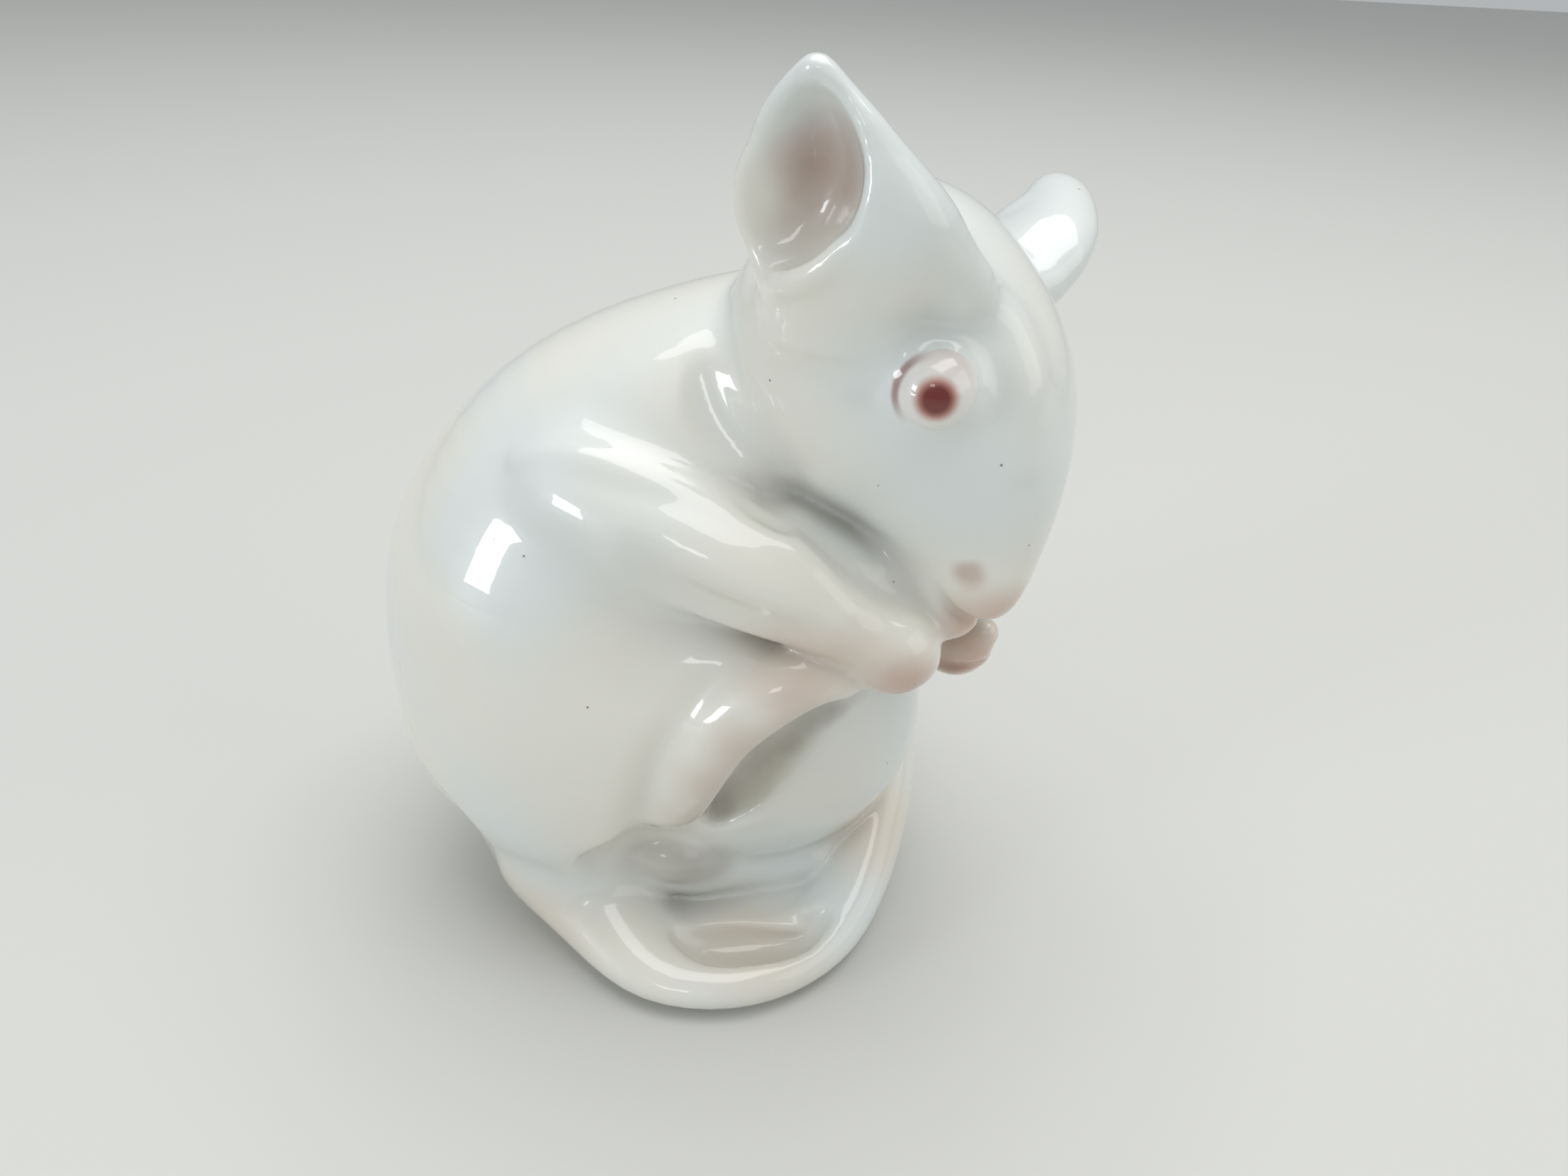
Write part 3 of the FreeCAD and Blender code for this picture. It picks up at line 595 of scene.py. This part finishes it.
def layOver(tree, under, over, *masks):
    # a colour laid over another, as strongly as all the masks multiplied
    amount = masks[0]
    for mask in masks[1:]:
        amount = addNode(tree, "ShaderNodeMath", {"operation": "MULTIPLY"}, {0: amount, 1: mask}).outputs[0]
    return addNode(tree, "ShaderNodeMix", {"data_type": "RGBA"}, {0: amount, 6: under, 7: over}).outputs[2]


# Painted porcelain: white pellets with underglaze red-brown sprayed on and clear glaze over it. The iris has
# a soft edge, the wet-looking glaze lies over it unbroken, and a reddish line gathers at the rear of the lid.
eyePaint = {
    "white": "#E4E2DE", "iris": "#6A0E00", "ring": "#A8573A", "shade": "#CDBFB8", "lid": "#8A4A38",
    "irisMm": (0.55, 1.0), "ringMm": (0.8, 1.35), "ringStrength": 0.8,
    "lidMm": 1.95, "lidEdgeMm": (0.05, 0.28), "lidStrength": 0.75,
    "rearLidMm": (-1.6, -8.0, -0.2), "rearLidFadeMm": (1.0, 2.7),
    "shadeAtMm": (0.4, -6.9, 2.6), "shadeMm": (0.3, 1.6), "shadeStretch": (1.6, 1.6, 1),
    "shadeStrength": 0.55,
}

# Hard-paste porcelain, dipped in clear glaze over sprayed underglaze colour: a milky body under a mirror-like
# coat, bluish where the glaze is thick, warm where it is thin, and blushed at the ears, nose and paws.
# Painted shade is laid over the glaze's colour too: a greyer colour in creases, and darker patches along the
# belly crease, under the far paw and on the right foot.
glaze = {
    # the pooled colour goes into creases and hollows: partly glaze pooled thick there, partly painted shade
    "warm": "#E3E1D7", "cool": "#DDE2E0", "pooledGlazeAndShade": "#A39A8E", "speck": "#4A4038", "patchMm": 16.0,
    "patchEdge": (0.40, 0.60), "poolMm": 2.0, "poolShade": (0.2, 0.85), "poolStrength": 0.65,
    "waveMm": 2.6, "waveHeightMm": 0.012,
    "speckMm": 0.05, "speckSpacingMm": 2.9, "speckStrength": 0.8,    # dark kiln specks in the glaze
    "wanderMm": 0.5, "wanderOverMm": 3.0,    # how far the sprayed colour's edges stray, and over what length
    # sprayed blush and painted shade, each: colour, strength, inner and outer radius, stretch, points
    "blushAndShade": [
        ("#C7A492", 0.70, 1.2, 3.6, (1, 1, 1), [(15.6, -10.2, 28.4), (14.4, -9.3, 26.4)]),
        ("#A97C68", 0.50, 0.3, 1.3, (1, 1, 1), [(13.7, -11.9, 31.0), (15.0, -9.6, 26.6)]),
        ("#C49C8B", 0.80, 0.8, 3.0, (1, 1, 1), [(15.6, -6.2, 22.6), (13.9, -5.6, 20.6)]),
        # painted shade: a dark brown-pink patch in the corner under the far paw, where it meets the tail
        ("#8E6553", 0.65, 0.2, 1.3, (1.5, 1, 0.8), [(14.4, -6.6, 21.3)]),
        ("#BB9484", 0.55, 0.4, 2.4, (1, 1, 1), [(11.7, -13.9, 25.4), (10.2, -14.3, 25.2)]),
        ("#CBB4A4", 0.50, 0.8, 3.8, (1.6, 1, 0.9), [(7.0, -14.5, 26.4), (3.6, -14.8, 26.4)]),
        ("#C6B2A3", 0.60, 0.5, 2.9, (1, 1, 1.2), [(5.0, -14.6, 23.2), (2.2, -14.4, 20.8), (0.4, -13.6, 17.6),
                                                  (-0.6, -12.4, 14.4)]),
        ("#C6B2A3", 0.60, 0.5, 2.9, (1, 1, 1.2), [(5.0, 14.6, 23.2), (2.2, 14.4, 20.8), (0.4, 13.6, 17.6)]),
        # painted shade: a dark grey-brown band along the crease between the right shin and the belly
        ("#7C7064", 0.55, 0.0, 1.8, (1, 1, 1), [(9.5, -7.6, 19.6), (8.4, -8.2, 19.4), (7.4, -8.4, 19.1),
                                                (6.3, -8.6, 18.6), (5.2, -8.7, 17.7), (4.3, -8.7, 16.6),
                                                (3.3, -8.7, 15.6), (2.5, -8.7, 14.6), (1.7, -8.7, 13.6),
                                                (1.0, -8.7, 12.5), (0.3, -8.7, 11.4)]),
        # a grey patch on the right foot: partly grey-beige sprayed colour, partly painted shade
        ("#A8A39A", 0.60, 0.6, 2.6, (1.4, 1, 0.9), [(-2.9, -10.4, 7.4), (-0.4, -9.4, 6.6)]),
        ("#DDD1BF", 0.70, 1.5, 6.0, (1.2, 1, 0.7), [(12.6, -4.5, 6.0), (3.0, -12.6, 2.6),
                                                    (-9.0, -10.0, 3.0)]),
    ],
    "earColour": "#A27F6E", "earStrength": 0.85, "earFacing": (-0.1, 0.5),
    # in each ear's frame: up, aside, inner and outer radius, strength
    "earSpots": [(5.1, -0.2, 0.5, 3.2, 1.0), (7.0, 0.3, 0.3, 2.2, 0.4), (3.0, -1.3, 0.3, 2.6, 0.4)],
    "earSpotForwardMm": -0.3,
}
porcelain, tree = newMaterial("glazedPorcelain")
place = inMm(tree)
drift = addNode(tree, "ShaderNodeTexNoise",
                links={"Vector": place, "Scale": 1 / glaze["wanderOverMm"], "Detail": 2.0})
drift = addNode(tree, "ShaderNodeVectorMath", {"operation": "SUBTRACT"},
                {0: drift.outputs["Color"], 1: (0.5, 0.5, 0.5)})
drift = addNode(tree, "ShaderNodeVectorMath", {"operation": "SCALE"},
                {0: drift.outputs[0], "Scale": 2 * glaze["wanderMm"]})
strayingPlace = addNode(tree, "ShaderNodeVectorMath", links={0: place, 1: drift.outputs[0]}).outputs[0]
patches = addNode(tree, "ShaderNodeTexNoise",
                  links={"Vector": place, "Scale": 1 / glaze["patchMm"], "Detail": 1.0})
patches = addNode(tree, "ShaderNodeMapRange", {"interpolation_type": "SMOOTHSTEP"},
                  {"Value": patches.outputs["Fac"], "From Min": glaze["patchEdge"][0],
                   "From Max": glaze["patchEdge"][1]})
colour = layOver(tree, linear(glaze["warm"]), linear(glaze["cool"]), patches.outputs[0])
normal = addNode(tree, "ShaderNodeNewGeometry").outputs["Normal"]
for name in ("right", "left"):
    turned, root = earFrames[name]
    facing = addNode(tree, "ShaderNodeVectorMath", {"operation": "DOT_PRODUCT"},
                     {0: normal, 1: tuple(turned[:, 0])}).outputs["Value"]
    facing = addNode(tree, "ShaderNodeMapRange", {"interpolation_type": "SMOOTHSTEP"},
                     {"Value": facing, "From Min": glaze["earFacing"][0],
                      "From Max": glaze["earFacing"][1]}).outputs[0]
    aside = -ear[name]["side"]
    for height, off, inner, outer, strength in glaze["earSpots"]:
        middle = turned @ np.array((glaze["earSpotForwardMm"], aside * off, height)) + root
        colour = layOver(tree, colour, linear(glaze["earColour"]), spot(tree, strayingPlace, middle, inner, outer),
                         facing, glaze["earStrength"] * strength)
# Sprayed blush, and painted shade along the belly crease, under the far paw and on the right foot.
for tint, strength, inner, outer, stretch, centres in glaze["blushAndShade"]:
    for centre in centres:
        blushAndShadeSpot = spot(tree, strayingPlace, centre, inner, outer, stretch)
        colour = layOver(tree, colour, linear(tint), blushAndShadeSpot, strength)
for side in (-1, 1):
    colour = layOver(tree, colour, linear(eyePaint["lid"]), *lidLine(tree, place, side),
                     eyePaint["lidStrength"])
# Painted shade: ambient occlusion lays a greyer colour into creases and hollows, partly for glaze pooled thick
# there, partly as painted shade.
poolAndShade = addNode(tree, "ShaderNodeAmbientOcclusion", {"samples": 6, "only_local": True},
               {"Distance": glaze["poolMm"] * 0.001}).outputs["AO"]
poolAndShade = addNode(tree, "ShaderNodeMapRange", links={
    "Value": poolAndShade, "From Min": glaze["poolShade"][0], "From Max": glaze["poolShade"][1],
    "To Min": glaze["poolStrength"], "To Max": 0.0}).outputs[0]
colour = layOver(tree, colour, linear(glaze["pooledGlazeAndShade"]), poolAndShade)
speckCells = addNode(tree, "ShaderNodeTexVoronoi",
                     links={"Vector": place, "Scale": 1 / glaze["speckSpacingMm"]})
speckShare = glaze["speckMm"] / glaze["speckSpacingMm"]
specks = addNode(tree, "ShaderNodeMapRange", links={
    "Value": speckCells.outputs["Distance"], "From Min": speckShare, "From Max": 1.8 * speckShare,
    "To Min": glaze["speckStrength"], "To Max": 0.0})
colour = layOver(tree, colour, linear(glaze["speck"]), specks.outputs[0])
waves = addNode(tree, "ShaderNodeTexNoise",
                links={"Vector": place, "Scale": 1 / glaze["waveMm"], "Detail": 1.5})
wavy = addNode(tree, "ShaderNodeBump", links={"Height": waves.outputs["Fac"], "Strength": 1.0,
                                              "Distance": glaze["waveHeightMm"] * 0.001})
surface = addNode(tree, "ShaderNodeBsdfPrincipled", links={
    "Base Color": colour, "Roughness": 0.35, "IOR": 1.5, "Coat Weight": 1.0, "Coat Roughness": 0.03,
    "Coat IOR": 1.5, "Normal": wavy.outputs[0], "Coat Normal": wavy.outputs[0],
    "Subsurface Weight": 0.15, "Subsurface Radius": (1.0, 0.9, 0.8), "Subsurface Scale": 0.0008})
addNode(tree, "ShaderNodeOutputMaterial", links={"Surface": surface.outputs[0]})
skinMesh.materials.append(porcelain)

# Biscuit: porcelain fired without glaze, where the foot was wiped and ground. It is dry, matt and slightly
# grey, with a fine grain.
biscuit = {"colour": "#D6D0C4", "dust": "#B9B1A2", "grainMm": 0.4, "grainHeightMm": 0.02, "faceUpToMm": 0.2,
           "ventUpToMm": 7.5}
bare, tree = newMaterial("biscuitPorcelain")
place = inMm(tree)
grain = addNode(tree, "ShaderNodeTexNoise",
                links={"Vector": place, "Scale": 1 / biscuit["grainMm"], "Detail": 3.0})
colour = layOver(tree, linear(biscuit["colour"]), linear(biscuit["dust"]), grain.outputs["Fac"])
rough = addNode(tree, "ShaderNodeBump", links={"Height": grain.outputs["Fac"], "Strength": 0.5,
                                              "Distance": biscuit["grainHeightMm"] * 0.001})
surface = addNode(tree, "ShaderNodeBsdfPrincipled", links={
    "Base Color": colour, "Roughness": 0.85, "IOR": 1.5, "Normal": rough.outputs[0]})
addNode(tree, "ShaderNodeOutputMaterial", links={"Surface": surface.outputs[0]})
skinMesh.materials.append(bare)
for polygon in skinMesh.polygons:
    x, y, z = polygon.center * 1000
    onFoot = polygon.normal.z < -0.9 and z < biscuit["faceUpToMm"]
    inVent = math.hypot(x - vent["xMm"], y) < vent["radiusMm"] + voxel and z < biscuit["ventUpToMm"]
    if onFoot or inVent:
        polygon.material_index = 1

for name, side in (("right_eye", -1), ("left_eye", 1)):
    painted, tree = newMaterial("paintedPorcelain" + name.split("_")[0].title())
    place = inMm(tree)
    iris = onHead([head["irisMm"]], side)[0]
    colour = linear(eyePaint["white"])
    shadeAt = onHead([eyePaint["shadeAtMm"]], side)[0]
    shaded = spot(tree, place, shadeAt, *eyePaint["shadeMm"], eyePaint["shadeStretch"])
    colour = layOver(tree, colour, linear(eyePaint["shade"]), shaded, eyePaint["shadeStrength"])
    colour = layOver(tree, colour, linear(eyePaint["lid"]), *lidLine(tree, place, side),
                     eyePaint["lidStrength"])
    ringed = spot(tree, place, iris, *eyePaint["ringMm"])
    colour = layOver(tree, colour, linear(eyePaint["ring"]), ringed, eyePaint["ringStrength"])
    colour = layOver(tree, colour, linear(eyePaint["iris"]), spot(tree, place, iris, *eyePaint["irisMm"]))
    surface = addNode(tree, "ShaderNodeBsdfPrincipled", links={
        "Base Color": colour, "Roughness": 0.3, "IOR": 1.5, "Coat Weight": 1.0, "Coat Roughness": 0.02,
        "Coat IOR": 1.5})
    addNode(tree, "ShaderNodeOutputMaterial", links={"Surface": surface.outputs[0]})
    eyeball = bpy.data.objects[name]
    for slot in eyeball.material_slots:
        slot.material = painted
print("glaze and paint")

# A plain studio: a floor of matt painted board, which gives a soft shadow and no highlight, and four soft
# boxes: low at the left, overhead, wide at the right, and a small one in front.
floorMesh = bpy.data.meshes.new("floor")
half = studio["floorHalfM"]
corners = [(-half, -half, 0), (half, -half, 0), (half, half, 0), (-half, half, 0)]
floorMesh.from_pydata(corners, [], [(0, 1, 2, 3)])
floor = bpy.data.objects.new("floor", floorMesh)
bpy.context.scene.collection.objects.link(floor)
floorPaint, tree = newMaterial("matteFloor")
surface = addNode(tree, "ShaderNodeBsdfPrincipled",
                  links={"Base Color": linear(studio["floor"]), "Roughness": 0.8})
addNode(tree, "ShaderNodeOutputMaterial", links={"Surface": surface.outputs[0]})
floorMesh.materials.append(floorPaint)

world = bpy.data.worlds.new("studio")
bpy.context.scene.world = world
world.use_nodes = True
tree = world.node_tree
tree.nodes.clear()
sky = addNode(tree, "ShaderNodeBackground",
              links={"Color": linear(studio["sky"]), "Strength": studio["skyStrength"]})
addNode(tree, "ShaderNodeOutputWorld", links={"Surface": sky.outputs[0]})

lamps = {
    # place, size, power and colour of each soft box, in m and W
    "windowBox": ((-0.36, -0.22, 0.10), (0.10, 0.12), 0.38, "#F4F9FF"),
    "skyBox": ((0.04, 0.05, 0.50), (0.50, 0.50), 1.95, "#FFFFFF"),
    "wallBox": ((0.40, -0.12, 0.22), (0.40, 0.30), 0.30, "#FFFBF4"),
    "roomBox": ((-0.10, -0.45, 0.28), (0.10, 0.06), 0.08, "#FFFFFF"),
}
for name, (at, size, watts, tint) in lamps.items():
    data = bpy.data.lights.new(name, "AREA")
    data.shape = "RECTANGLE"
    data.size, data.size_y = size
    data.energy = watts
    data.color = linear(tint)[:3]
    lamp = bpy.data.objects.new(name, data)
    lamp.location = at
    lamp.rotation_euler = (Vector(studio["lampsAimM"]) - Vector(at)).to_track_quat("-Z", "Y").to_euler()
    bpy.context.scene.collection.objects.link(lamp)

cameraData = bpy.data.cameras.new("camera")
cameraData.sensor_width = studio["sensorMm"]
cameraData.lens = studio["lensMm"]
cameraData.clip_start = 0.001
camera = bpy.data.objects.new("camera", cameraData)
camera.location = Vector(studio["cameraMm"]) * 0.001
look = Matrix.Rotation(math.radians(90 - studio["pitchDeg"]), 4, "X")
tilt = Matrix.Rotation(math.radians(studio["rollDeg"]), 4, "Z")
camera.rotation_euler = (look @ tilt).to_euler()
bpy.context.scene.collection.objects.link(camera)
bpy.context.scene.camera = camera
bpy.context.scene.view_settings.view_transform = "Standard"

print("studio set")
